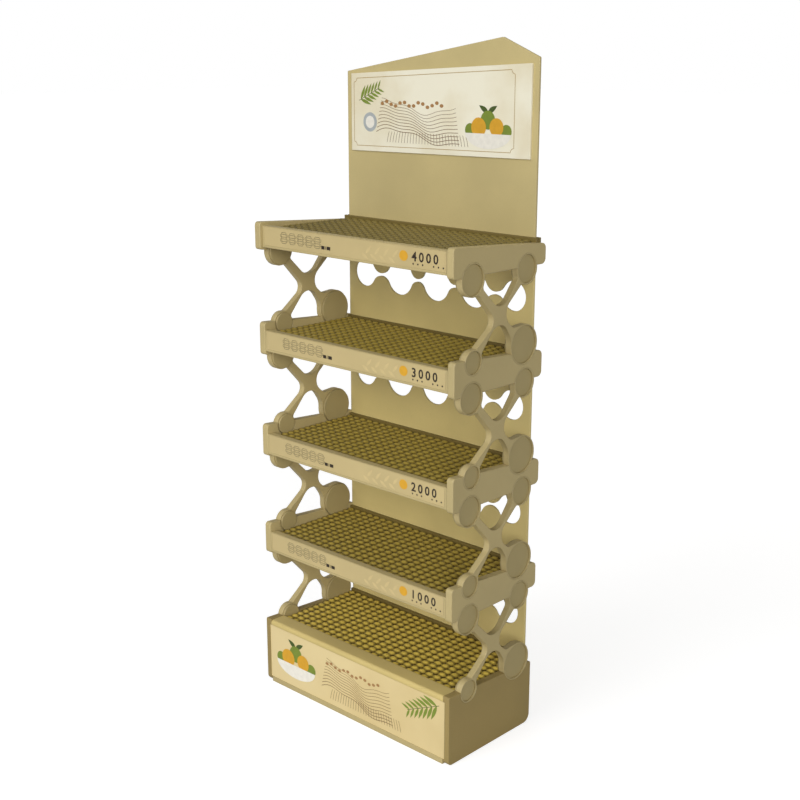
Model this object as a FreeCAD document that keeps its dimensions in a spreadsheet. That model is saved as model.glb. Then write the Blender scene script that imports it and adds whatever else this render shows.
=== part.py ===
import FreeCAD, Part
# Five-level display stand of painted board: a box base, four trays between side cheeks,
# X-shaped side struts held by round plugs, a pierced back panel and a header board.
# Millimetres. Origin at the middle of the foot, X to the right, Y to the back, Z up.
import math
import os
from FreeCAD import Vector

SIZES = [
    # whole stand
    ("overall_width", 600), ("side_thick", 18), ("strut_thick", 15), ("board_thick", 18),
    ("deck_thick", 12), ("panel_thick", 5), ("edge_bevel", 1.2),
    # base box
    ("base_front", -150), ("base_back", 134), ("base_tall", 165.5), ("base_drop", 14.5),
    ("foot_round_front", 13), ("foot_round_back", 20), ("base_top_round", 3),
    ("ledge_deep", 41.5), ("ledge_thick", 12), ("ledge_below", 2.5), ("ledge_round", 7),
    ("print_margin", 12.5), ("print_sink", 3), ("card_thick", 1.5), ("front_set_back", 0.5),
    ("base_mat_below", 8), ("base_rail_tall", 38),
    # trays
    ("first_extra", 3.5), ("tray_pitch", 246), ("cheek_tall", 78), ("cheek_drop", 20),
    ("top_cheek_tall", 64), ("cheek_front", -145), ("cheek_back", 143.5),
    ("top_cheek_front", -151), ("top_cheek_back", 147),
    ("cheek_round_front", 8), ("cheek_round_back", 12),
    ("fascia_front", -144), ("fascia_tall", 49.5), ("fascia_lift", 6), ("third_lift", 10),
    ("strip_margin", 6), ("strip_top_margin", 1.5), ("strip_sink", 2), ("small_round", 1.5), ("mat_below", 9.5),
    # mats and rails
    ("mat_thick", 4), ("mat_groove", 2.2), ("mat_pitch", 17.8), ("rail_front", 124), ("rail_show", 8),
    ("panel_front", 131),
    # plugs and their seats
    ("plug_ring", 2.5), ("plug_sunk", 4), ("plug_thick", 16), ("plug_fit", 0.15), ("seat_fit", 0.15),
    # row of holes in the back panel
    ("hole_margin", 20.5), ("hole_end", 33.5), ("hole_mid", 41), ("neck_half", 3.2), ("hole_drop", 78),
    # header
    ("rail_notch", 9), ("top_rail_deep", 16), ("top_rail_over", 42), ("top_rail_tall", 13),
    ("groove_deep", 4), ("header_left_rise", 336), ("header_peak_rise", 410), ("header_right_rise", 369.5),
    ("peak_inset", 98), ("peak_round", 12),
    ("graphic_margin", 16), ("graphic_thick", 4), ("graphic_over", 155), ("graphic_low_rise", 7),
    ("graphic_tall", 175.5), ("graphic_top_rise", 27),
]

# Drawing of a strut for plates this deep, this far apart. Round ends as
# (back from the middle, up from the underside of the tray above, radius)
DRAWN_DEEP, DRAWN_TALL = 288.5, 168
ENDS = {
    "upper front": (-89.5, -7, 35.5),
    "upper back": (84.5, -4.5, 33),
    "lower back": (80, -166, 44),
    "lower front": (-84.5, -178, 27),
}
# Bays between the round ends. Each leaves one rim along its tangent, turns round a tip and meets the next rim:
# (end, angle on it, run along the tangent, fillet radius), (tip across, tip up, tip radius), and again an end
BAYS = [
    (("upper front", 285, 8, 11.5), (-13, -103.5, 22.5), ("lower front", 84, 5, 8)),
    (("lower front", 20, 6, 9.5), (-1, -92, 31), ("lower back", 176, 14.5, 40)),
    (("lower back", 95, 34, 22), (1.5, -91, 30), ("upper back", 247, 4.5, 6)),
    (("upper back", 197, 8.5, 16), (2, -88.5, 35.5), ("upper front", -25, 6.5, 10)),
]
TRAYS = 4
RIGHT, LEFT = 1, -1
SIDE_NAME = {RIGHT: "right", LEFT: "left"}

doc = FreeCAD.newDocument("display_stand")
nodes = []
sheet = doc.addObject("Spreadsheet::Sheet", "sizes")
for row, (alias, value) in enumerate(SIZES, start=1):
    sheet.set("A%d" % row, alias)
    sheet.set("B%d" % row, str(value))
    sheet.setAlias("B%d" % row, alias)
doc.recompute()


def size(alias):
    return float(sheet.get(alias))


def origin_plane(body, role):
    return [f for f in body.Origin.OriginFeatures if f.Role == role][0]


def node(thing, label):
    """Names a finished sub-part and puts it on the list that is written out."""
    thing.Label = label
    nodes.append(thing)
    return thing


def new_body(label):
    return node(doc.addObject("PartDesign::Body", label), label)


def sketch_in(body, role, shapes, offset=None):
    sketch = body.newObject("Sketcher::SketchObject", "outline")
    sketch.AttachmentSupport = [(origin_plane(body, role), "")]
    sketch.MapMode = "FlatFace"
    if offset:
        sketch.setExpression("AttachmentOffset.Base.z", offset)
    sketch.addGeometry(shapes, False)
    return sketch


def pad(body, sketch, length, backwards=False):
    feature = body.newObject("PartDesign::Pad", "plate")
    feature.Profile = sketch
    feature.setExpression("Length", length)
    feature.Reversed = backwards
    sketch.Visibility = False
    body.Tip = feature
    doc.recompute()
    return feature


def pocket(body, sketch, length, backwards=False):
    before = body.Shape.Volume
    feature = body.newObject("PartDesign::Pocket", "cut")
    feature.Profile = sketch
    feature.setExpression("Length", length)
    feature.Reversed = backwards
    sketch.Visibility = False
    body.Tip = feature
    doc.recompute()
    if not body.Shape.Volume < before - 1:
        raise ValueError("cut removes nothing in " + body.Label)
    return feature


def bevel(body, axis, places):
    """Bevels every edge of the last feature that lies in one of the planes at the places given."""
    last = body.Tip
    names = []
    for number, edge in enumerate(last.Shape.Edges, start=1):
        box = edge.BoundBox
        low, high = (getattr(box, axis + "Min"), getattr(box, axis + "Max"))
        if any(abs(low - p) < 1e-4 and abs(high - p) < 1e-4 for p in places):
            names.append("Edge%d" % number)
    feature = body.newObject("PartDesign::Chamfer", "bevel")
    feature.Base = (last, names)
    feature.setExpression("Size", "sizes.edge_bevel")
    body.Tip = feature
    doc.recompute()
    return feature


def rounded(points, radii):
    """Closed outline of lines with a tangent arc at each corner that has a radius."""
    count = len(points)
    corners = []
    for i in range(count):
        here = Vector(*points[i])
        to_last = (Vector(*points[i - 1]) - here).normalize()
        to_next = (Vector(*points[(i + 1) % count]) - here).normalize()
        if radii[i] <= 0:
            corners.append((here, None, here))
            continue
        half = to_last.getAngle(to_next) / 2
        reach = radii[i] / math.tan(half)
        middle = (to_last + to_next).normalize()
        centre = here + middle * (radii[i] / math.sin(half))
        corners.append((here + to_last * reach, centre - middle * radii[i], here + to_next * reach))
    shapes = []
    for i in range(count):
        start, middle, end = corners[i]
        if middle is not None:
            shapes.append(Part.Arc(start, middle, end))
        shapes.append(Part.LineSegment(end, corners[(i + 1) % count][0]))
    return shapes


def rectangle(left, low, right, high):
    return rounded([(left, low, 0), (right, low, 0), (right, high, 0), (left, high, 0)], [0, 0, 0, 0])


def circle(across, up, radius):
    return Part.Circle(Vector(across, up, 0), Vector(0, 0, 1), radius)


def box(start, extent):
    """Plain block: start corner and extent are expressions for X, Y and Z."""
    piece = doc.addObject("Part::Box", "board")
    for name, text in zip("xyz", start):
        piece.setExpression("Placement.Base." + name, text)
    for name, text in zip(("Length", "Width", "Height"), extent):
        piece.setExpression(name, text)
    return piece


def board(label, start, extent):
    return node(box(start, extent), label)


def inner_width():
    return "(sizes.overall_width - 2 * sizes.side_thick)"


def inner_left():
    return "(sizes.side_thick - sizes.overall_width / 2)"


def strut_scale():
    """How much deeper and taller than drawn the room for a strut is."""
    deep = (size("cheek_back") - size("cheek_front")) / DRAWN_DEEP
    tall = (size("tray_pitch") - size("cheek_tall")) / DRAWN_TALL
    return deep, tall


def strut_end(name):
    y, z, radius = ENDS[name]
    deep, tall = strut_scale()
    return y * deep, z * tall, radius * min(deep, tall)


def inner_half():
    return size("overall_width") / 2 - size("side_thick")


def tray_low(level):
    """Underside of a tray, as an expression; the room over the base is a little taller than the others."""
    return "(sizes.base_tall + sizes.first_extra - sizes.cheek_tall + %d * sizes.tray_pitch)" % level


def tray_low_value(level):
    return size("base_tall") + size("first_extra") - size("cheek_tall") + level * size("tray_pitch")


def ledge_top():
    return size("base_tall") - size("ledge_below")


def rail_low():
    return tray_low_value(TRAYS) + size("top_rail_over")


def rail_top():
    return rail_low() + size("top_rail_tall")


def fascia_low(level):
    lift = "third_lift" if level == 3 else "fascia_lift"
    return "(%s + sizes.%s)" % (tray_low(level), lift)


def fascia_low_value(level):
    return tray_low_value(level) + size("third_lift" if level == 3 else "fascia_lift")


def mat_top(level):
    """Top of the mat on a tray, or on the base for level 0."""
    if level == 0:
        return "(sizes.base_tall - sizes.ledge_below - sizes.base_mat_below)"
    return "(%s + sizes.fascia_tall - sizes.mat_below)" % fascia_low(level)


def side_plate_at(body, side):
    """Moves a plate sketched at X 0 to its side of the stand."""
    if side == RIGHT:
        body.setExpression("Placement.Base.x", "sizes.overall_width / 2 - sizes.side_thick")
    else:
        body.setExpression("Placement.Base.x", "-sizes.overall_width / 2")


def strut_seats(body, side, seats):
    """Round openings in a plate that take the round ends of the struts."""
    offset = "sizes.side_thick" if side == RIGHT else None
    rings = [circle(y, z, radius + size("seat_fit")) for y, z, radius in seats]
    pocket(body, sketch_in(body, "YZ_Plane", rings, offset), "sizes.side_thick", side == LEFT)


def seats_under(level):
    """Seats in a plate for the upper ends of the struts that hang below tray `level`."""
    up = tray_low_value(level)
    return [(y, up + z, r) for y, z, r in (strut_end("upper front"), strut_end("upper back"))]


def seats_over(level):
    """Seats in a plate for the lower ends of the struts that stand below tray `level`."""
    up = tray_low_value(level)
    return [(y, up + z, r) for y, z, r in (strut_end("lower front"), strut_end("lower back"))]


def side_plate(label, side, outline, radii, seats):
    body = new_body(label)
    pad(body, sketch_in(body, "YZ_Plane", rounded(outline, radii)), "sizes.side_thick")
    bevel(body, "X", [0, size("side_thick")])
    strut_seats(body, side, seats)
    side_plate_at(body, side)
    return body


def make_cheek(level, side):
    low = tray_low_value(level)
    top = level == TRAYS
    front = size("top_cheek_front" if top else "cheek_front")
    back = size("top_cheek_back" if top else "cheek_back")
    tall = size("top_cheek_tall" if top else "cheek_tall")
    outline = [(front, low, 0), (back, low, 0), (back, low + tall - size("cheek_drop"), 0),
               (front, low + tall, 0)]
    r_front, r_back = size("cheek_round_front"), size("cheek_round_back")
    seats = seats_under(level)
    if not top:
        seats = seats + seats_over(level + 1)
    label = "tray_%d_%s_cheek" % (level, SIDE_NAME[side])
    body = side_plate(label, side, outline, [r_front, r_back, r_back, r_front], seats)
    if top:
        # flat notch for the top rail, halfway into the plate from its inner face
        start = size("rail_front")
        reach = size("rail_notch")
        inner = 0 if side == RIGHT else size("side_thick")
        notch = rectangle(min(inner, inner + side * reach), rail_low(),
                          max(inner, inner + side * reach), low + tall + 1)
        sketch = sketch_in(body, "XZ_Plane", notch, "-%g" % start)
        pocket(body, sketch, "sizes.top_rail_deep")
    return body


def make_base_side(side):
    front, back = size("base_front"), size("base_back")
    tall = size("base_tall")
    outline = [(front, 0, 0), (back, 0, 0), (back, tall - size("base_drop"), 0), (front, tall, 0)]
    radii = [size("foot_round_front"), size("foot_round_back"), size("base_top_round"), size("base_top_round")]
    body = side_plate("base_%s_side" % SIDE_NAME[side], side, outline, radii, seats_over(1))
    # rebate in the front edge that takes the end of the printed card
    inner = 0 if side == RIGHT else size("side_thick")
    outer = inner + side * (size("side_thick") - size("print_margin"))
    rebate = rectangle(min(inner, outer), size("print_margin"), max(inner, outer), ledge_top() - size("ledge_thick"))
    sketch = sketch_in(body, "XZ_Plane", rebate, "-sizes.base_front - sizes.print_sink - sizes.front_set_back")
    pocket(body, sketch, "sizes.print_sink + 5", True)
    return body


def make_base_front():
    """Front board with a sunk field for the printed card."""
    body = new_body("base_front_board")
    half = inner_half()
    top = ledge_top() - size("ledge_thick")
    offset = "-sizes.base_front - sizes.front_set_back"
    sketch = sketch_in(body, "XZ_Plane", rectangle(-half, 0, half, top), offset)
    pad(body, sketch, "sizes.board_thick", True)
    field = rectangle(-half, size("print_margin"), half, top)
    pocket(body, sketch_in(body, "XZ_Plane", field, offset), "sizes.print_sink")
    return body


def make_ledge():
    """Top board of the base front, its front edge rounded over."""
    body = new_body("base_ledge")
    front = size("base_front") + size("front_set_back")
    back = front + size("ledge_deep")
    high = ledge_top()
    low = high - size("ledge_thick")
    outline = [(front, low, 0), (back, low, 0), (back, high, 0), (front, high, 0)]
    sketch = sketch_in(body, "YZ_Plane", rounded(outline, [0, 0, size("small_round"), size("ledge_round")]))
    pad(body, sketch, inner_width())
    body.setExpression("Placement.Base.x", inner_left())
    return body


def make_fascia(level):
    """Front board of a tray with a sunk field for the price strip, its top edges eased."""
    body = new_body("tray_%d_fascia" % level)
    low = fascia_low_value(level)
    high = low + size("fascia_tall")
    front = size("fascia_front")
    back = front + size("board_thick")
    outline = [(front, low, 0), (back, low, 0), (back, high, 0), (front, high, 0)]
    pad(body, sketch_in(body, "YZ_Plane", rounded(outline, [size("small_round"), 0, size("small_round"), size("small_round")])), inner_width())
    body.setExpression("Placement.Base.x", inner_left())
    margin = size("strip_margin")
    field = rectangle(margin, low + margin, 2 * inner_half() - margin, high - size("strip_top_margin"))
    pocket(body, sketch_in(body, "XZ_Plane", field, "-sizes.fascia_front"), "sizes.strip_sink")
    return body


def make_strip(level):
    """Price strip laid in the sunk field of the fascia."""
    margin = "sizes.strip_margin"
    start = ("%s + %s" % (inner_left(), margin),
             "sizes.fascia_front + sizes.strip_sink - sizes.card_thick",
             "%s + %s" % (fascia_low(level), margin))
    extent = ("%s - 2 * %s" % (inner_width(), margin), "sizes.card_thick",
              "sizes.fascia_tall - %s - sizes.strip_top_margin" % margin)
    return board("tray_%d_price_strip" % level, start, extent)


def plug_cylinder(level, side, name, fit="0"):
    """Round plug at one end of a strut, lying along X and sunk in the outer face."""
    y, z, radius = strut_end(name)
    plug = doc.addObject("Part::Cylinder", "plug")
    plug.setExpression("Radius", "%g - sizes.plug_ring - %s" % (radius, fit))
    plug.setExpression("Height", "sizes.plug_thick")
    plug.Placement.Rotation = FreeCAD.Rotation(Vector(0, 1, 0), 90)
    outer = "sizes.overall_width / 2 - sizes.plug_sunk"
    plug.setExpression("Placement.Base.x",
                       "%s - sizes.plug_thick" % outer if side == RIGHT else "-(%s)" % outer)
    plug.setExpression("Placement.Base.y", "%g" % y)
    plug.setExpression("Placement.Base.z", "%s + (%g)" % (tray_low(level), z))
    return plug


def notched(thing, label, level):
    """Cuts the ends of a deck or mat clear of the plugs that stand proud of the side plates."""
    if level < TRAYS:
        lower = ("lower front", "lower back")
        tool = doc.addObject("Part::Compound", "notches")
        tool.Links = [plug_cylinder(level + 1, side, name) for side in (LEFT, RIGHT) for name in lower]
        cut = doc.addObject("Part::Cut", "notched")
        cut.Base = thing
        cut.Tool = tool
        thing = cut
    return node(thing, label)


def make_mat(label, level, front, back):
    """Woven mat: rows of low ridges across the tray."""
    body = doc.addObject("PartDesign::Body", "mat")
    rows = round((back - front) / size("mat_pitch"))
    step = (back - front) / rows
    high, groove = size("mat_thick"), size("mat_groove")
    points = [(front, 0, 0), (back, 0, 0)]
    for row in range(rows):
        right = back - row * step
        points += [(right, high - groove, 0), (right - step * 0.25, high, 0), (right - step * 0.75, high, 0)]
    points += [(front, high - groove, 0)]
    pad(body, sketch_in(body, "YZ_Plane", rounded(points, [0] * len(points))), inner_width())
    body.setExpression("Placement.Base.x", inner_left())
    body.setExpression("Placement.Base.z", "%s - sizes.mat_thick" % mat_top(level))
    return notched(body, label, level)


def make_deck(label, level, front):
    start = (inner_left(), front, "%s - sizes.mat_thick - sizes.deck_thick" % mat_top(level))
    extent = (inner_width(), "sizes.rail_front - (%s)" % front, "sizes.deck_thick")
    return notched(box(start, extent), label, level)


def make_tray(level):
    for side in (LEFT, RIGHT):
        make_cheek(level, side)
    make_fascia(level)
    make_strip(level)
    front = "sizes.fascia_front + sizes.board_thick"
    make_deck("tray_%d_deck" % level, level, front)
    make_mat("tray_%d_mat" % level, level, size("fascia_front") + size("board_thick"), size("rail_front"))
    top = tray_low(level) + " + sizes.top_rail_over" if level == TRAYS else "(%s + sizes.rail_show)" % mat_top(level)
    board("tray_%d_back_rail" % level, (inner_left(), "sizes.rail_front", fascia_low(level)),
          (inner_width(), "sizes.panel_front - sizes.rail_front", "%s - %s" % (top, fascia_low(level))))


def make_base():
    for side in (LEFT, RIGHT):
        make_base_side(side)
    make_base_front()
    make_ledge()
    back_of_front = "sizes.base_front + sizes.front_set_back + sizes.board_thick"
    behind_ledge = "sizes.base_front + sizes.front_set_back + sizes.ledge_deep"
    card_half = "(sizes.overall_width / 2 - sizes.print_margin)"
    board("base_printed_card",
          ("-" + card_half, "sizes.base_front + sizes.front_set_back + sizes.print_sink - sizes.card_thick", "sizes.print_margin"),
          ("2 * " + card_half, "sizes.card_thick",
           "sizes.base_tall - sizes.ledge_below - sizes.ledge_thick - sizes.print_margin"))
    make_deck("base_deck", 0, behind_ledge)
    make_mat("base_mat", 0, size("base_front") + size("front_set_back") + size("ledge_deep"), size("rail_front"))
    board("base_back_rail", (inner_left(), "sizes.rail_front", "%s + sizes.rail_show - sizes.base_rail_tall" % mat_top(0)),
          (inner_width(), "sizes.panel_front - sizes.rail_front", "sizes.base_rail_tall"))
    board("base_bottom", (inner_left(), back_of_front, "0"),
          (inner_width(), "sizes.panel_front - (%s)" % back_of_front, "sizes.deck_thick"))


def on_end(name, degrees):
    """Point on the rim of a strut's round end."""
    y, z, radius = strut_end(name)
    turn = math.radians(degrees)
    return Vector(y + radius * math.cos(turn), z + radius * math.sin(turn), 0)


def end_arc(name, start, stop):
    return Part.Arc(on_end(name, start), on_end(name, (start + stop) / 2), on_end(name, stop))


def bay_edges(leave, tip, meet):
    """Lines and tangent arcs from one rim round a tip to the next rim."""
    deep, tall = strut_scale()
    first, last = on_end(*leave[:2]), on_end(*meet[:2])
    a, b = math.radians(leave[1]), math.radians(meet[1])
    after = first + Vector(-math.sin(a), math.cos(a), 0) * leave[2]
    before = last + Vector(math.sin(b), -math.cos(b), 0) * meet[2]
    corner = Vector(tip[0] * deep, tip[1] * tall, 0)
    path = [first, after, corner, before, last]
    shapes = rounded([tuple(p) for p in path], [0, leave[3], tip[2], meet[3], 0])
    return shapes[:-1]


def strut_outline():
    shapes = []
    for number, (leave, tip, meet) in enumerate(BAYS):
        shapes += bay_edges(leave, tip, meet)
        stop = BAYS[(number + 1) % len(BAYS)][0][1]
        while stop < meet[1]:
            stop += 360
        shapes.append(end_arc(meet[0], meet[1], stop))
    return shapes


def make_strut(level, side):
    """X-shaped strut below tray `level`, with a round hole for a plug in each of its four ends."""
    body = new_body("strut_%d_%s" % (level, SIDE_NAME[side]))
    pad(body, sketch_in(body, "YZ_Plane", strut_outline()), "sizes.strut_thick")
    ends = [strut_end(name) for name in ENDS]
    holes = [circle(y, z, radius - size("plug_ring")) for y, z, radius in ends]
    pocket(body, sketch_in(body, "YZ_Plane", holes), "sizes.strut_thick", True)
    outer = "sizes.overall_width / 2"
    body.setExpression("Placement.Base.x",
                       "%s - sizes.strut_thick" % outer if side == RIGHT else "-%s" % outer)
    body.setExpression("Placement.Base.z", tray_low(level))
    return body


def make_plugs(level, side):
    """The four plugs that pin a strut to the plates above and below it."""
    group = doc.addObject("Part::Compound", "plugs")
    group.Links = [plug_cylinder(level, side, name, "sizes.plug_fit") for name in ENDS]
    return node(group, "strut_%d_%s_plugs" % (level, SIDE_NAME[side]))


def hole_chain(up):
    """One closed outline of five round holes joined by narrow necks with rounded lobes between."""
    pitch = (inner_half() - size("hole_margin") - size("hole_end")) / 2
    neck = size("neck_half")
    radii = [size("hole_end"), size("hole_mid"), size("hole_mid"), size("hole_mid"), size("hole_end")]
    across = [(i - 2) * pitch for i in range(5)]
    lobes = []
    for i in range(4):
        x1, x2, r1, r2 = across[i], across[i + 1], radii[i], radii[i + 1]
        a = (x2 * x2 - x1 * x1 + r1 * r1 - r2 * r2) / (2 * (x2 - x1))
        b = (r1 - r2) / (x2 - x1)
        # radius of the circle that touches both holes and leaves the neck open
        p, q = b * b, 2 * b * (a - x1) + 2 * neck - 2 * r1
        c = (a - x1) ** 2 + neck * neck - r1 * r1
        r = -c / q if abs(p) < 1e-12 else (-q - math.sqrt(q * q - 4 * p * c)) / (2 * p)
        lobes.append((a + b * r, neck + r, r))

    def touch(i, lobe, sign):
        x, rise, r = lobe
        k = radii[i] / (radii[i] + r)
        return Vector(across[i] + k * (x - across[i]), up + sign * k * rise, 0)

    shapes = []
    for sign in (1, -1):
        for i, lobe in enumerate(lobes):
            middle = Vector(lobe[0], up + sign * neck, 0)
            shapes.append(Part.Arc(touch(i, lobe, sign), middle, touch(i + 1, lobe, sign)))
        for i in (1, 2, 3):
            crest = Vector(across[i], up + sign * radii[i], 0)
            shapes.append(Part.Arc(touch(i, lobes[i - 1], sign), crest, touch(i, lobes[i], sign)))
    for i, lobe, way in ((0, lobes[0], -1), (4, lobes[3], 1)):
        crest = Vector(across[i] + way * radii[i], up, 0)
        shapes.append(Part.Arc(touch(i, lobe, 1), crest, touch(i, lobe, -1)))
    return shapes


def make_back_panel():
    body = new_body("back_panel")
    half = inner_half()
    sketch = sketch_in(body, "XZ_Plane", rectangle(-half, 0, half, rail_low()), "-sizes.panel_front")
    pad(body, sketch, "sizes.panel_thick", True)
    holes = []
    for level in range(1, TRAYS + 1):
        holes += hole_chain(tray_low_value(level) - size("hole_drop"))
    pocket(body, sketch_in(body, "XZ_Plane", holes, "-sizes.panel_front"), "sizes.panel_thick")
    return body


def make_header():
    """Header board: it rises to a peak right of the middle and falls to its right corner."""
    body = new_body("header_board")
    half, foot = inner_half(), rail_top()
    low = foot - size("groove_deep")
    outline = [(-half, low, 0), (half, low, 0), (half, foot + size("header_right_rise"), 0),
               (half - size("peak_inset"), foot + size("header_peak_rise"), 0),
               (-half, foot + size("header_left_rise"), 0)]
    sketch = sketch_in(body, "XZ_Plane", rounded(outline, [0, 0, size("peak_round") / 4, size("peak_round"), size("peak_round") / 4]), "-sizes.panel_front")
    pad(body, sketch, "sizes.panel_thick", True)
    return body


def make_graphic():
    """Printed panel on the header, higher at its right end."""
    body = new_body("header_graphic")
    half = inner_half() - size("graphic_margin")
    low = rail_top() + size("graphic_over")
    top = low + size("graphic_tall")
    outline = [(-half, low, 0), (half, low + size("graphic_low_rise"), 0),
               (half, top + size("graphic_top_rise"), 0), (-half, top, 0)]
    sketch = sketch_in(body, "XZ_Plane", rounded(outline, [1, 1, 1, 1]), "-sizes.panel_front")
    pad(body, sketch, "sizes.graphic_thick")
    return body


def make_top_rail():
    """Rail across the back of the top tray, grooved for the header board."""
    body = new_body("top_rail")
    front = size("rail_front")
    back = front + size("top_rail_deep")
    low, high = rail_low(), rail_top()
    groove_front = size("panel_front")
    groove_back = groove_front + size("panel_thick")
    floor = high - size("groove_deep")
    outline = [(front, low, 0), (back, low, 0), (back, high, 0), (groove_back, high, 0), (groove_back, floor, 0),
               (groove_front, floor, 0), (groove_front, high, 0), (front, high, 0)]
    sketch = sketch_in(body, "YZ_Plane", rounded(outline, [0] * len(outline)))
    pad(body, sketch, "%s + 2 * sizes.rail_notch" % inner_width())
    body.setExpression("Placement.Base.x", "%s - sizes.rail_notch" % inner_left())
    return body


def check_and_export():
    doc.recompute()
    for thing in doc.Objects:
        if "Invalid" in thing.State or "Error" in thing.State:
            raise ValueError("broken object " + thing.Label)
    os.makedirs("parts", exist_ok=True)
    for thing in nodes:
        if thing.Shape.isNull() or not thing.Shape.isValid():
            raise ValueError("bad shape " + thing.Label)
        thing.Shape.exportStep("parts/%s.step" % thing.Label)


make_base()
for tray in range(1, TRAYS + 1):
    make_tray(tray)
    for hand in (LEFT, RIGHT):
        make_strut(tray, hand)
        make_plugs(tray, hand)
make_back_panel()
make_top_rail()
make_header()
make_graphic()
check_and_export()
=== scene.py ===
import bpy
import math
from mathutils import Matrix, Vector


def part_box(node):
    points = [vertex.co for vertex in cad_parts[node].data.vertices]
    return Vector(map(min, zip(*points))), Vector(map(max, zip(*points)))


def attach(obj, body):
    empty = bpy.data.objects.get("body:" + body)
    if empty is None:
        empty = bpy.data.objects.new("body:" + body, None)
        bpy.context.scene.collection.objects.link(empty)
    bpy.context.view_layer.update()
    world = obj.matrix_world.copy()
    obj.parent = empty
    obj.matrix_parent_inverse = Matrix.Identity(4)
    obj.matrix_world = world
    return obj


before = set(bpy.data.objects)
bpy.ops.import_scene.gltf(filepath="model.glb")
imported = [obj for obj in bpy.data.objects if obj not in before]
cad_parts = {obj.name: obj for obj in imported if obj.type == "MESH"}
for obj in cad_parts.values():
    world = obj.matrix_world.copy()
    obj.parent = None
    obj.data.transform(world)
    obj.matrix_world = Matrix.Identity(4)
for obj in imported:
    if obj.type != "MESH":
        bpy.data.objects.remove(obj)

# Looks of the display stand: champagne paint, woven mats, prints, price figures, light and camera.
# Metres in the part's frame; the prints are laid out in millimetres.
MM = 0.001

# levels of the stand, from the lowest tray up
TRAYS = (1, 2, 3, 4)

# colours as they look in the picture, 0 to 255
CHAMPAGNE = (184, 167, 118)
# painted shade: a darker copy of the champagne paint, for the base's side plates
CHAMPAGNE_SIDE_PAINTED_SHADE = (152, 132, 80)
# painted light: a lighter copy of the champagne paint, for the light on the ledge's top
CHAMPAGNE_LEDGE_PAINTED_LIGHT = (204, 183, 117)
CHAMPAGNE_PLUG = (169, 153, 106)
# painted light: a lighter copy of the champagne paint for the header board, making up for the weaker light
# that reaches it
CHAMPAGNE_HEADER_PAINTED_LIGHT = (199, 182, 128)
# painted light: a lighter copy of the champagne paint for the back panel, which takes out the shade inside
# the bays
CHAMPAGNE_BACK_PAINTED_LIGHT = (216, 197, 132)
STRIP_CREAM = (194, 175, 125)
CARD_CREAM = (240, 235, 213)
CARD_TAN = (219, 205, 167)
BASE_CREAM = (223, 203, 151)
BASE_TAN = (210, 188, 134)
# mat weave: the colour of the tops holds a painted highlight, the colour of the gaps painted shade
MAT_CROWN_HIGHLIGHT = (186, 163, 72)
MAT_GAP_SHADE = (62, 46, 10)
RAIL_OLIVE = (120, 103, 50)
INK_BROWN = (128, 96, 58)
INK_GOLD = (176, 146, 84)
INK_DARK = (44, 34, 24)
LEAF_GREEN = (124, 142, 52)
LEAF_DARK = (70, 88, 34)
FRUIT_AMBER = (214, 160, 40)
FRUIT_GREEN = (120, 138, 48)
BOWL_WHITE = (236, 232, 220)
SKY_GREY = (172, 178, 178)

# painted light and shade on each mat's weave, as lighter and darker copies of one weave colour: the higher a
# mat lies, the flatter it is seen and the darker it reads
BASE_WEAVE_PAINTED_LIGHT = 1.18
WEAVE_PAINTED_SHADE = {1: 0.99, 2: 0.97, 3: 0.95, 4: 0.71}

# crossings of the weave
CELL_WIDE = 22.6 * MM
CELL_LONG = 17.8 * MM
GROOVE_DEEP = 2.2 * MM
WEAVE_RISE = 6.6 * MM
CELL_POINTS = 9
CAP_SIDE = 0.8
CAP_SLOPE = 0.25
CAP_SHARE = 0.4
HOLE_ROUND = 0.8

# how far inks stand off the card, and off the ink under them
INK_OFF = 0.25 * MM
INK_STEP = 0.08 * MM

# price strips, in millimetres from the strip's lower left corner
FIGURE_COUNT = 5
FIGURES_LEFT = 58
FIGURES_LOW = 12
FIGURE_PITCH = 27.2
FIGURE_WIDE = 19
FIGURE_TALL = 20
SEGMENT_WIDE = 4.2
SEGMENT_GAP = 3
SEGMENT_LINE = 1.0
MARK_LOW, MARK_TOP = 9.5, 17
MARKS_ACROSS = ((189, 199), (201.5, 203), (205.5, 217))
SPRAY_LEFT, SPRAY_LOW = 312, 15
SPRAY_PITCH = 13
SPRAY_LEAVES = 8
SPOT_PLACE = (434, 22)
SPOT_WIDE, SPOT_TALL = 12, 11
NUMBER_LEFT, NUMBER_LOW, NUMBER_TALL = 457, 14, 19
DOTS_LEFT, DOTS_LOW, DOT_RADIUS = 461, 8, 2
DOTS_ACROSS = (0, 13, 26, 56, 69, 82)

# fruit of a bowl: across and up from its foot, and radius; and the order its inks are laid in
AMBER_FRUIT = ((-16, 26, 13), (15, 27, 12))
GREEN_FRUIT = ((0, 36, 12.5), (-31, 22, 9), (32, 22, 9))
BOWL_INKS = (("leaf", "leaf_dark"), ("green", "fruit_green"), ("amber", "amber"), ("white", "white"))

# white floor and backdrop: what the floor lacks of white to the camera, and the light of the room
FLOOR_GREY = 0.5
FLOOR_LIFT = 0.72
ROOM_TINT = (1.0, 0.985, 0.95, 1)
ROOM_STRENGTH = 0.25

# the camera of the photo
CAMERA_PLACE = (1.9578, -2.0449, 1.5144)
CAMERA_DOWN = 0.2650
CAMERA_TURN = 0.7607
CAMERA_LENS = 58.133


def linear(colour):
    """Colour as seen, 0 to 255, to the linear values that shaders take."""
    values = [c / 255 for c in colour]
    bent = [v / 12.92 if v <= 0.04045 else ((v + 0.055) / 1.055) ** 2.4 for v in values]
    return (bent[0], bent[1], bent[2], 1.0)


def shade(colour, factor):
    return tuple(min(255, c * factor) for c in colour)


# materials

def new_material(name, roughness):
    material = bpy.data.materials.new(name)
    material.use_nodes = True
    shader = material.node_tree.nodes["Principled BSDF"]
    shader.inputs["Roughness"].default_value = roughness
    return material, material.node_tree, shader


def add_node(tree, kind, **values):
    made = tree.nodes.new(kind)
    for name, value in values.items():
        made.inputs[name].default_value = value
    return made


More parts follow.
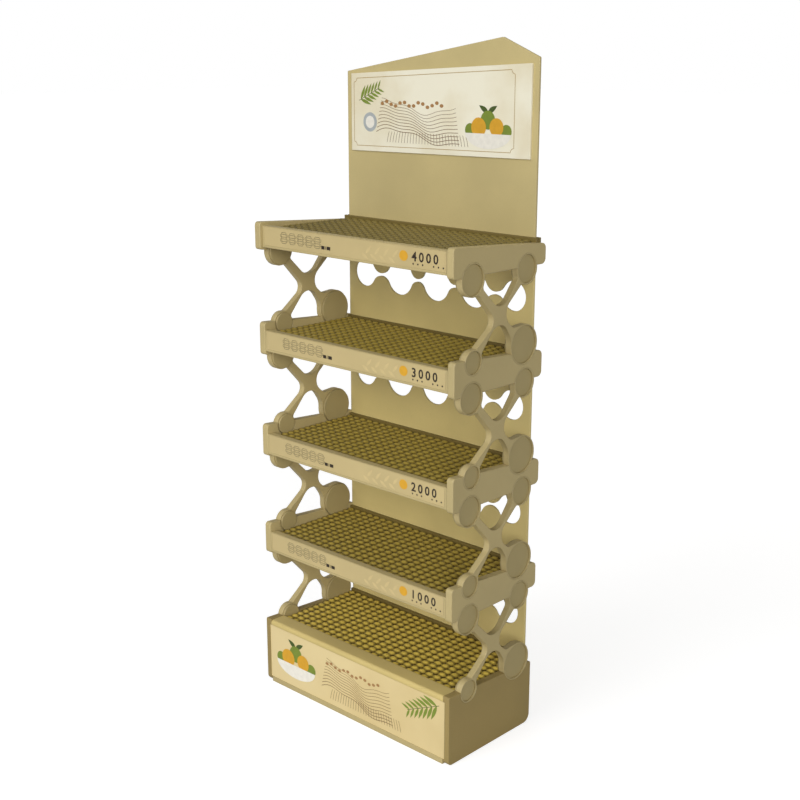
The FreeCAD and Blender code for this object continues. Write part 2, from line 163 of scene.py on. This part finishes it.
def noise(tree, scale, detail=3.0, stretch=None):
    """Noise over the part's own coordinates, in metres."""
    place = add_node(tree, "ShaderNodeTexCoord")
    made = add_node(tree, "ShaderNodeTexNoise", Scale=scale, Detail=detail)
    if stretch is None:
        tree.links.new(place.outputs["Object"], made.inputs["Vector"])
    else:
        mapping = add_node(tree, "ShaderNodeMapping", Scale=stretch)
        tree.links.new(place.outputs["Object"], mapping.inputs["Vector"])
        tree.links.new(mapping.outputs["Vector"], made.inputs["Vector"])
    return made


def mixed(tree, first, second, factor_socket, low=0.35, high=0.65):
    """Colour between two, driven by a value that is spread from low to high."""
    spread = add_node(tree, "ShaderNodeMapRange")
    spread.inputs["From Min"].default_value = low
    spread.inputs["From Max"].default_value = high
    tree.links.new(factor_socket, spread.inputs["Value"])
    mix = tree.nodes.new("ShaderNodeMix")
    mix.data_type = "RGBA"
    tree.links.new(spread.outputs["Result"], mix.inputs["Factor"])
    for socket, value in ((mix.inputs[6], first), (mix.inputs[7], second)):
        if isinstance(value, tuple):
            socket.default_value = value
        else:
            tree.links.new(value, socket)
    return mix.outputs[2]


def rough_by(tree, shader, factor_socket, low, high):
    spread = add_node(tree, "ShaderNodeMapRange")
    spread.inputs["To Min"].default_value = low
    spread.inputs["To Max"].default_value = high
    tree.links.new(factor_socket, spread.inputs["Value"])
    tree.links.new(spread.outputs["Result"], shader.inputs["Roughness"])


def relief(tree, shader, height_socket, strength, distance, edge=None):
    """Bump from a height, over edges rounded by the given radius."""
    bump = add_node(tree, "ShaderNodeBump", Strength=strength, Distance=distance)
    tree.links.new(height_socket, bump.inputs["Height"])
    if edge:
        soft = add_node(tree, "ShaderNodeBevel", Radius=edge)
        soft.samples = 6
        tree.links.new(soft.outputs["Normal"], bump.inputs["Normal"])
    tree.links.new(bump.outputs["Normal"], shader.inputs["Normal"])


def painted_board(name, colour, roughness=0.42):
    """Satin paint on board: cloudy tone, fine grain, softened edges."""
    darker, lighter, speckled = 0.965, 1.02, 0.93
    material, tree, shader = new_material(name, roughness)
    clouds = noise(tree, scale=5.0, detail=4.0)
    grain = noise(tree, scale=700.0, detail=2.0)
    tone = mixed(tree, linear(shade(colour, darker)), linear(shade(colour, lighter)), clouds.outputs["Fac"])
    speck = mixed(tree, tone, linear(shade(colour, speckled)), grain.outputs["Fac"], low=0.55, high=0.9)
    tree.links.new(speck, shader.inputs["Base Color"])
    rough_by(tree, shader, clouds.outputs["Fac"], roughness - 0.06, roughness + 0.08)
    relief(tree, shader, grain.outputs["Fac"], strength=0.12, distance=0.0004, edge=0.0028)
    return material


def woven_with_painted_light(name, tone):
    """Moulded weave with painted light and shade by height: lighter tops as painted highlight, dark gaps as
    painted shade; fine strands.
    """
    # tone is this mat's painted light or shade, a factor on the colour of the tops
    highlit_caps = shade(MAT_CROWN_HIGHLIGHT, tone)
    between_strands = shade(highlit_caps, 0.8)
    material, tree, shader = new_material(name, roughness=0.36)
    crown_light_and_shade = tree.nodes.new("ShaderNodeAttribute")
    crown_light_and_shade.attribute_name = "crown_light_and_shade"
    strands = noise(tree, scale=260.0, detail=2.0, stretch=(0.35, 1.0, 1.0))
    # painted shade in the low gaps and painted highlight on the high tops, by each point's height
    body = mixed(tree, linear(MAT_GAP_SHADE), linear(highlit_caps), crown_light_and_shade.outputs["Fac"], low=0.22, high=1.0)
    blend = mixed(tree, body, linear(between_strands), strands.outputs["Fac"], low=0.55, high=0.95)
    tree.links.new(blend, shader.inputs["Base Color"])
    relief(tree, shader, strands.outputs["Fac"], strength=0.25, distance=0.0006)
    return material


def painted_shade_mat_ground(name):
    """Dark ground of a mat, painted shade seen only between the crossings of its weave."""
    darker, lighter = 0.8, 1.15
    material, tree, shader = new_material(name, roughness=0.6)
    grain = noise(tree, scale=300.0)
    tone = mixed(tree, linear(shade(MAT_GAP_SHADE, darker)), linear(shade(MAT_GAP_SHADE, lighter)), grain.outputs["Fac"])
    tree.links.new(tone, shader.inputs["Base Color"])
    relief(tree, shader, grain.outputs["Fac"], strength=0.3, distance=0.0005)
    return material


def printed_card(name, light, dark, cloud_scale):
    """Coated card: two tones of cream in soft clouds."""
    material, tree, shader = new_material(name, roughness=0.4)
    clouds = noise(tree, scale=cloud_scale, detail=5.0)
    fibre = noise(tree, scale=900.0, detail=1.0)
    tone = mixed(tree, linear(light), linear(dark), clouds.outputs["Fac"], low=0.45, high=0.75)
    tree.links.new(tone, shader.inputs["Base Color"])
    rough_by(tree, shader, clouds.outputs["Fac"], low=0.34, high=0.46)
    relief(tree, shader, fibre.outputs["Fac"], strength=0.05, distance=0.0002, edge=0.0005)
    return material


def ink(name, colour, roughness=0.45):
    """Printed colour with a slightly uneven lay."""
    thick, thin = 0.975, 1.01
    material, tree, shader = new_material(name, roughness)
    lay = noise(tree, scale=90.0, detail=2.0)
    tone = mixed(tree, linear(shade(colour, thick)), linear(shade(colour, thin)), lay.outputs["Fac"])
    tree.links.new(tone, shader.inputs["Base Color"])
    return material


# flat printed shapes, as polygons of (across, up) in millimetres

def disc(x, z, wide, tall=None, corners=28):
    tall = wide if tall is None else tall
    turns = [2 * math.pi * i / corners for i in range(corners)]
    return [(x + wide * math.cos(t), z + tall * math.sin(t)) for t in turns]


def turned(points, x, z, degrees):
    c, s = math.cos(math.radians(degrees)), math.sin(math.radians(degrees))
    return [(x + px * c - pz * s, z + px * s + pz * c) for px, pz in points]


def leaf(x, z, long, wide, degrees, steps=8):
    """Pointed leaf from its stem at x, z."""
    fullest = 0.8
    upper = [(long * i / steps, wide / 2 * math.sin(math.pi * (i / steps) ** fullest))
             for i in range(steps + 1)]
    lower = [(px, -pz) for px, pz in reversed(upper[1:-1])]
    return turned(upper + lower, x, z, degrees)


def ribbon(points, wide):
    """A line of the given width as one quad per step."""
    sides = []
    for i, (x, z) in enumerate(points):
        x1, z1 = points[max(i - 1, 0)]
        x2, z2 = points[min(i + 1, len(points) - 1)]
        long = math.hypot(x2 - x1, z2 - z1)
        nx, nz = -(z2 - z1) / long * wide / 2, (x2 - x1) / long * wide / 2
        sides.append(((x + nx, z + nz), (x - nx, z - nz)))
    return [[a[0], a[1], b[1], b[0]] for a, b in zip(sides, sides[1:])]


def loop(points, wide):
    return ribbon(points + [points[0]], wide)


def flat_piece(name, polygons, y, material):
    """One mesh of flat polygons in the plane at y, facing the front."""
    vertices, faces = [], []
    for polygon in polygons:
        start = len(vertices)
        vertices += [(x * MM, y, z * MM) for x, z in polygon]
        faces.append(list(range(start, start + len(polygon))))
    mesh = bpy.data.meshes.new(name)
    mesh.from_pydata(vertices, [], faces)
    mesh.materials.append(material)
    piece = bpy.data.objects.new(name, mesh)
    bpy.context.collection.objects.link(piece)
    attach(piece, "root")
    return piece


def figures(name, text, x, z, y, tall, material):
    """Plain numbers standing on the front face at y; x and z are the lower left corner in millimetres."""
    curve = bpy.data.curves.new(name, "FONT")
    curve.body = text
    height_of_a_figure, spacing, thickening = 0.7, 1.45, 0.0006
    curve.size = tall * MM / height_of_a_figure
    curve.resolution_u = 3
    curve.space_character = spacing
    curve.offset = thickening
    curve.materials.append(material)
    piece = bpy.data.objects.new(name, curve)
    piece.location = (x * MM, y, z * MM)
    piece.rotation_euler = (math.pi / 2, 0, 0)
    bpy.context.collection.objects.link(piece)
    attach(piece, "root")
    return piece


# woven mats

def spaced(low, high, pitch):
    """Edges of equal cells of about the given pitch."""
    count = round((high - low) / pitch)
    return [low + (high - low) * i / count for i in range(count + 1)]


def crossing(u, v):
    """Height, 0 to 1, of a crossing at u, v from its middle: a flat cap, with holes at the corners."""
    cap = min(1.0, max(0.0, (CAP_SIDE - max(abs(u), abs(v))) / CAP_SLOPE))
    return (1 - CAP_SHARE) * (1 - abs(u * v) ** HOLE_ROUND) + CAP_SHARE * cap


def weave(name, node, material):
    """Crossings in a grid over the ridges of a mat."""
    low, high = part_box(node)
    across = spaced(low.x, high.x, CELL_WIDE)
    along = spaced(low.y, high.y, CELL_LONG)
    base = high.z - GROOVE_DEEP
    steps = [2 * i / (CELL_POINTS - 1) - 1 for i in range(CELL_POINTS)]
    vertices, faces, crowns = [], [], []
    for y0, y1 in zip(along, along[1:]):
        for x0, x1 in zip(across, across[1:]):
            start = len(vertices)
            for v in steps:
                for u in steps:
                    dome = crossing(u, v)
                    vertices.append(((x0 + x1) / 2 + u * (x1 - x0) / 2, (y0 + y1) / 2 + v * (y1 - y0) / 2,
                                     base + dome * WEAVE_RISE))
                    crowns.append(dome)
            for j in range(CELL_POINTS - 1):
                for i in range(CELL_POINTS - 1):
                    a = start + j * CELL_POINTS + i
                    faces.append((a, a + 1, a + CELL_POINTS + 1, a + CELL_POINTS))
    mesh = bpy.data.meshes.new(name)
    mesh.from_pydata(vertices, [], faces)
    mesh.shade_smooth()
    mesh.materials.append(material)
    # each point's height is kept to paint light and shade on the weave: higher lighter, lower darker
    attribute = mesh.attributes.new("crown_light_and_shade", "FLOAT", "POINT")
    attribute.data.foreach_set("value", crowns)
    piece = bpy.data.objects.new(name, mesh)
    bpy.context.collection.objects.link(piece)
    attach(piece, "root")
    return piece


# price strips

def segment(x, z, long, wide, upright):
    """Outline of one segment of a figure, with pointed ends."""
    tip = wide / 2
    points = [(-long / 2, 0), (tip - long / 2, tip), (long / 2 - tip, tip), (long / 2, 0),
              (long / 2 - tip, -tip), (tip - long / 2, -tip)]
    return turned(points, x, z, 90 if upright else 0)


def empty_figure(x, z, wide, tall):
    """Seven empty segments of a figure, ready to be filled in."""
    bars = [(x + wide / 2, z + k * tall / 2, wide - SEGMENT_GAP, False) for k in range(3)]
    bars += [(x + side * wide, z + (k + 0.5) * tall / 2, tall / 2 - SEGMENT_GAP, True)
             for side in (0, 1) for k in (0, 1)]
    outlines = []
    for bx, bz, long, upright in bars:
        outlines += loop(segment(bx, bz, long, SEGMENT_WIDE, upright), SEGMENT_LINE)
    return outlines


def dress_strip(level, inks):
    """Empty price figures, a unit mark, pale leaves and a plain number on a price strip."""
    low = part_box("tray_%d_price_strip" % level)[0]
    y = low.y - INK_OFF
    left, base = low.x / MM, low.z / MM
    name = "tray_%d_" % level
    outlines = []
    for place in range(FIGURE_COUNT):
        outlines += empty_figure(left + FIGURES_LEFT + place * FIGURE_PITCH, base + FIGURES_LOW,
                                 FIGURE_WIDE, FIGURE_TALL)
    flat_piece(name + "price_segments", outlines, y, inks["faint"])
    marks = [[(left + x0, base + MARK_LOW), (left + x1, base + MARK_LOW),
              (left + x1, base + MARK_TOP), (left + x0, base + MARK_TOP)] for x0, x1 in MARKS_ACROSS]
    flat_piece(name + "unit_marks", marks, y, inks["dark"])
    spray = [leaf(left + SPRAY_LEFT + i * SPRAY_PITCH, base + SPRAY_LOW, long=24, wide=7,
                  degrees=48 if i % 2 else -30) for i in range(SPRAY_LEAVES)]
    flat_piece(name + "sprig", spray, y, inks["pale"])
    spot = disc(left + SPOT_PLACE[0], base + SPOT_PLACE[1], SPOT_WIDE, SPOT_TALL)
    flat_piece(name + "number_spot", [spot], y, inks["amber"])
    figures(name + "number", "%d000" % level, left + NUMBER_LEFT, base + NUMBER_LOW, y, NUMBER_TALL,
            inks["dark"])
    dots = [disc(left + DOTS_LEFT + across, base + DOTS_LOW, DOT_RADIUS, corners=10)
            for across in DOTS_ACROSS]
    flat_piece(name + "number_dots", dots, y, inks["dark"])


# prints

def hills(x0, x1, base, tall, rows):
    """Rows of field lines that roll over low hills, as thin ribbons."""
    start_shift, end_shift = 18, 12
    steps = 24
    roll, ripple = 0.22, 0.25
    line, nearer = 0.9, 0.5
    lines = []
    for row in range(rows):
        share = row / (rows - 1)
        start, end = x0 + start_shift * share, x1 - end_shift * share
        points = []
        for i in range(steps + 1):
            t = i / steps
            long_wave = math.sin(t * math.pi * 1.6 + 0.5 + share)
            short_wave = math.sin(t * math.pi * 5 + share * 2)
            swell = long_wave + ripple * short_wave
            points.append((start + (end - start) * t, base + tall * share + tall * roll * swell))
        lines += ribbon(points, line + nearer * (1 - share))
    return lines


def furrows(x0, x1, base, tall, count):
    """Short slanting strokes that read as planted rows."""
    slant, knee, line = 14, 0.4, 1.1
    strokes = []
    for i in range(count):
        t = i / (count - 1)
        x = x0 + (x1 - x0) * t
        lean = (t - 0.5) * slant
        strokes += ribbon([(x, base), (x - lean * knee, base + tall * 0.5), (x - lean, base + tall)], line)
    return strokes


def tree_line(x, z, count, sway, wide, tall):
    """Row of small round trees that rises and falls a little."""
    pitch, wave, corners = 14, 1.7, 14
    return [disc(x + i * pitch, z + sway * math.sin(i * wave), wide, tall, corners) for i in range(count)]


def sprig(x, z, long, degrees, pairs, leaf_long):
    """Leaves in pairs along a straight stem, shorter towards its tip; and the stem."""
    lowest, taper, slim, spread, line = 1.15, 0.5, 0.22, 42, 1.2
    leaves = []
    c, s = math.cos(math.radians(degrees)), math.sin(math.radians(degrees))
    for i in range(pairs):
        t = (i + 0.5) / pairs
        px, pz = x + c * long * t, z + s * long * t
        size = leaf_long * (lowest - taper * t)
        leaves.append(leaf(px, pz, size, size * slim, degrees + spread))
        leaves.append(leaf(px, pz, size, size * slim, degrees - spread))
    return leaves, ribbon([(x, z), (x + c * long, z + s * long)], line)


def fruit_bowl(x, z, k):
    """Bowl of round fruit, drawn k times its plain size: polygons by colour."""
    def fruit(places):
        return [disc(x + px * k, z + pz * k, radius * k) for px, pz, radius in places]
    rim, wide, deep, steps = 18, 40, 20, 20
    turns = [math.pi + math.pi * i / steps for i in range(steps + 1)]
    half = [(x + wide * k * math.cos(t), z + rim * k + deep * k * math.sin(t)) for t in turns]
    leaves = [leaf(x, z + 46 * k, long=18 * k, wide=7 * k, degrees=turn) for turn in (30, 150)]
    return {"amber": fruit(AMBER_FRUIT), "green": fruit(GREEN_FRUIT), "white": [half], "leaf": leaves}


def lay_bowl(name, bowl, y, inks):
    for step, (key, colour) in enumerate(BOWL_INKS):
        flat_piece("%s_%s" % (name, key), bowl[key], y - step * INK_STEP, inks[colour])


def lay_sprig(name, leaves, stem, y, inks):
    flat_piece(name, leaves, y, inks["leaf"])
    flat_piece(name + "_stem", stem, y - INK_STEP, inks["leaf_dark"])


def notched_border(x0, x1, z_low, z_top, rise_low, rise_top, notch):
    """Border line with a rounded bite at each corner; the low and top lines climb to the right."""
    steps, line = 8, 1.3

    def bite(cx, cz, start):
        turns = [math.radians(start - 90 * i / steps) for i in range(steps + 1)]
        return [(cx + notch * math.cos(t), cz + notch * math.sin(t)) for t in turns]
    points = bite(x0, z_low, 90)
    points += bite(x1, z_low + rise_low, 180)
    points += bite(x1, z_top + rise_top, 270)
    points += bite(x0, z_top, 360)
    return loop(points, line)


def dress_header(inks):
    """Border, field, bowl, sprig and a pale sun on the header's panel."""
    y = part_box("header_graphic")[0].y - INK_OFF
    border = notched_border(x0=-257, x1=222, z_low=1297, z_top=1450, rise_low=6, rise_top=24, notch=9)
    flat_piece("header_border", border, y, inks["gold"])
    field = hills(x0=-185, x1=70, base=1324, tall=66, rows=10)
    field += furrows(x0=-150, x1=95, base=1309, tall=24, count=28)
    flat_piece("header_hills", field, y, inks["brown"])
    trees = tree_line(x=-165, z=1395, count=14, sway=5, wide=5.5, tall=4)
    flat_piece("header_trees", trees, y - INK_STEP, inks["brown_pale"])
    lay_bowl("header_bowl", fruit_bowl(x=150, z=1311, k=1.6), y, inks)
    leaves, stem = sprig(x=-240, z=1400, long=72, degrees=24, pairs=6, leaf_long=32)
    lay_sprig("header_sprig", leaves, stem, y, inks)
    sun_x, sun_z, sun_radius, core_radius = -205, 1352, 22, 14
    flat_piece("header_sun", [disc(sun_x, sun_z, sun_radius)], y, inks["grey"])
    flat_piece("header_sun_core", [disc(sun_x, sun_z, core_radius)], y - INK_STEP, inks["white"])


def dress_base(inks):
    """Field, bowl and sprig on the card of the base."""
    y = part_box("base_printed_card")[0].y - INK_OFF
    field = hills(x0=-105, x1=130, base=44, tall=66, rows=10)
    field += furrows(x0=-75, x1=155, base=27, tall=26, count=28)
    flat_piece("base_hills", field, y, inks["brown"])
    trees = tree_line(x=-85, z=114, count=13, sway=4, wide=5, tall=3.6)
    flat_piece("base_trees", trees, y - INK_STEP, inks["brown_pale"])
    lay_bowl("base_bowl", fruit_bowl(x=-196, z=38, k=1.7), y, inks)
    leaves, stem = sprig(x=270, z=136, long=105, degrees=205, pairs=7, leaf_long=38)
    lay_sprig("base_sprig", leaves, stem, y, inks)


# surfaces of the built parts

def paint_nodes(materials):
    for name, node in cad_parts.items():
        if name.endswith("_plugs"):
            chosen = materials["plug"]
        elif name in ("base_left_side", "base_right_side"):
            # the base's side plates get painted shade, a darker copy of the champagne paint
            chosen = materials["side"]
        elif name == "base_ledge":
            # the ledge gets painted light, a lighter copy of the champagne paint
            chosen = materials["ledge_painted_light"]
        elif name.endswith("price_strip"):
            chosen = materials["strip"]
        elif name == "base_printed_card":
            chosen = materials["base_card"]
        elif name == "header_graphic":
            chosen = materials["header_card"]
        elif name.endswith("_mat"):
            # the mats' own parts get a dark ground: painted shade under the weave
            chosen = materials["mat"]
        elif name.endswith("back_rail") or name == "top_rail":
            chosen = materials["rail"]
        elif name == "back_panel":
            # the back panel gets painted light, a lighter copy of the champagne paint
            chosen = materials["back"]
        elif name == "header_board":
            # the header board gets painted light, a lighter copy of the champagne paint
            chosen = materials["header"]
        else:
            chosen = materials["board"]
        node.data.materials.clear()
        node.data.materials.append(chosen)


def make_materials():
    strip_shade = shade(STRIP_CREAM, 0.96)
    return {
        "board": painted_board("champagne_board", CHAMPAGNE),
        # painted shade: darker champagne for the base's side plates
        "side": painted_board("champagne_side_painted_shade", CHAMPAGNE_SIDE_PAINTED_SHADE, roughness=0.5),
        # painted light: lighter champagne for the ledge's top
        "ledge_painted_light": painted_board("champagne_ledge_painted_light", CHAMPAGNE_LEDGE_PAINTED_LIGHT, roughness=0.4),
        "plug": painted_board("champagne_plug", CHAMPAGNE_PLUG, roughness=0.5),
        # painted light: lighter champagne for the back panel inside the bays
        "back": painted_board("champagne_back_painted_light", CHAMPAGNE_BACK_PAINTED_LIGHT, roughness=0.38),
        # painted light: lighter champagne for the header board
        "header": painted_board("champagne_header_painted_light", CHAMPAGNE_HEADER_PAINTED_LIGHT, roughness=0.38),
        "rail": painted_board("olive_rail", RAIL_OLIVE, roughness=0.5),
        "strip": printed_card("strip_card", STRIP_CREAM, strip_shade, cloud_scale=9.0),
        "base_card": printed_card("base_card", BASE_CREAM, BASE_TAN, cloud_scale=4.0),
        "header_card": printed_card("header_card", CARD_CREAM, CARD_TAN, cloud_scale=5.0),
        # painted shade: dark ground of the mats
        "mat": painted_shade_mat_ground("mat_ground_painted_shade"),
    }


def make_inks():
    return {
        "faint": ink("ink_faint", shade(STRIP_CREAM, 0.55)),
        "pale": ink("ink_pale", shade(STRIP_CREAM, 1.04)),
        "dark": ink("ink_dark", INK_DARK),
        "brown": ink("ink_brown", INK_BROWN),
        "brown_pale": ink("ink_brown_pale", shade(INK_BROWN, 1.3)),
        "gold": ink("ink_gold", INK_GOLD, roughness=0.35),
        "amber": ink("ink_amber", FRUIT_AMBER),
        "leaf": ink("ink_leaf", LEAF_GREEN),
        "leaf_dark": ink("ink_leaf_dark", LEAF_DARK),
        "fruit_green": ink("ink_fruit_green", FRUIT_GREEN),
        "white": ink("ink_white", BOWL_WHITE),
        "grey": ink("ink_grey", SKY_GREY),
    }


# floor, light and camera

def make_floor():
    mesh = bpy.data.meshes.new("floor")
    far = 40.0
    mesh.from_pydata([(-far, -far, 0), (far, -far, 0), (far, far, 0), (-far, far, 0)], [], [(0, 1, 2, 3)])
    floor = bpy.data.objects.new("floor", mesh)
    bpy.context.collection.objects.link(floor)
    material, tree, shader = new_material("floor_white", roughness=0.9)
    shader.inputs["Base Color"].default_value = (FLOOR_GREY, FLOOR_GREY, FLOOR_GREY, 1)
    shader.inputs["Specular IOR Level"].default_value = 0.0
    # the camera sees the floor a little lighter, so that it meets the backdrop; its shadow stays
    path = tree.nodes.new("ShaderNodeLightPath")
    lift = add_node(tree, "ShaderNodeMath")
    lift.operation = "MULTIPLY"
    lift.inputs[1].default_value = FLOOR_LIFT
    tree.links.new(path.outputs["Is Camera Ray"], lift.inputs[0])
    shader.inputs["Emission Color"].default_value = (1, 1, 1, 1)
    tree.links.new(lift.outputs["Value"], shader.inputs["Emission Strength"])
    mesh.materials.append(material)


def make_world():
    world = bpy.data.worlds.new("white_room")
    bpy.context.scene.world = world
    world.use_nodes = True
    tree = world.node_tree
    ground = tree.nodes["Background"]
    ground.inputs["Color"].default_value = ROOM_TINT
    ground.inputs["Strength"].default_value = ROOM_STRENGTH
    seen = add_node(tree, "ShaderNodeBackground", Color=(1, 1, 1, 1), Strength=1.0)
    path = tree.nodes.new("ShaderNodeLightPath")
    mix = tree.nodes.new("ShaderNodeMixShader")
    tree.links.new(path.outputs["Is Camera Ray"], mix.inputs["Fac"])
    tree.links.new(ground.outputs["Background"], mix.inputs[1])
    tree.links.new(seen.outputs["Background"], mix.inputs[2])
    tree.links.new(mix.outputs["Shader"], tree.nodes["World Output"].inputs["Surface"])


def make_sun(name, towards, energy, spread):
    """Sun that shines along the direction given."""
    light = bpy.data.lights.new(name, "SUN")
    light.energy = energy
    light.angle = math.radians(spread)
    sun = bpy.data.objects.new(name, light)
    sun.rotation_euler = Vector(towards).to_track_quat("-Z", "Y").to_euler()
    bpy.context.collection.objects.link(sun)


def make_panel_light(name, place, wide, tall, power):
    """Tall soft light in front of the bays, turned to the back."""
    light = bpy.data.lights.new(name, "AREA")
    light.shape = "RECTANGLE"
    light.size = wide
    light.size_y = tall
    light.energy = power
    panel = bpy.data.objects.new(name, light)
    panel.location = place
    panel.rotation_euler = (math.pi / 2, 0, 0)
    panel.visible_camera = False
    bpy.context.collection.objects.link(panel)


def make_camera():
    camera_data = bpy.data.cameras.new("camera")
    camera_data.sensor_width = 36.0
    camera_data.lens = CAMERA_LENS
    camera_data.clip_end = 200.0
    camera = bpy.data.objects.new("camera", camera_data)
    camera.location = CAMERA_PLACE
    camera.rotation_euler = (math.pi / 2 - CAMERA_DOWN, 0, CAMERA_TURN)
    bpy.context.collection.objects.link(camera)
    bpy.context.scene.camera = camera


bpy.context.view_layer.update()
paint_nodes(make_materials())
shared_inks = make_inks()
# each mat's weave is a lighter or darker copy of one weave: painted light on the base mat, painted shade on
# the trays' mats
weave("base_weave", "base_mat", woven_with_painted_light("woven_base_painted_light", BASE_WEAVE_PAINTED_LIGHT))
for tray in TRAYS:
    weave("tray_%d_weave" % tray, "tray_%d_mat" % tray, woven_with_painted_light("woven_tray_%d" % tray, WEAVE_PAINTED_SHADE[tray]))
    dress_strip(tray, shared_inks)
dress_header(shared_inks)
dress_base(shared_inks)
make_floor()
make_world()
make_sun("right_sun", towards=(-0.76, 0.58, -0.26), energy=1.5, spread=25)
make_sun("front_sun", towards=(0.05, 0.88, -0.47), energy=0.60, spread=30)
make_sun("left_sun", towards=(0.30, 0.70, -0.65), energy=0.32, spread=20)
make_sun("top_sun", towards=(0.05, 0.15, -1.0), energy=0.35, spread=40)
make_panel_light("bay_light", place=(0.15, -1.3, 0.72), wide=0.25, tall=1.5, power=5.0)
make_camera()
bpy.context.scene.view_settings.view_transform = "Standard"
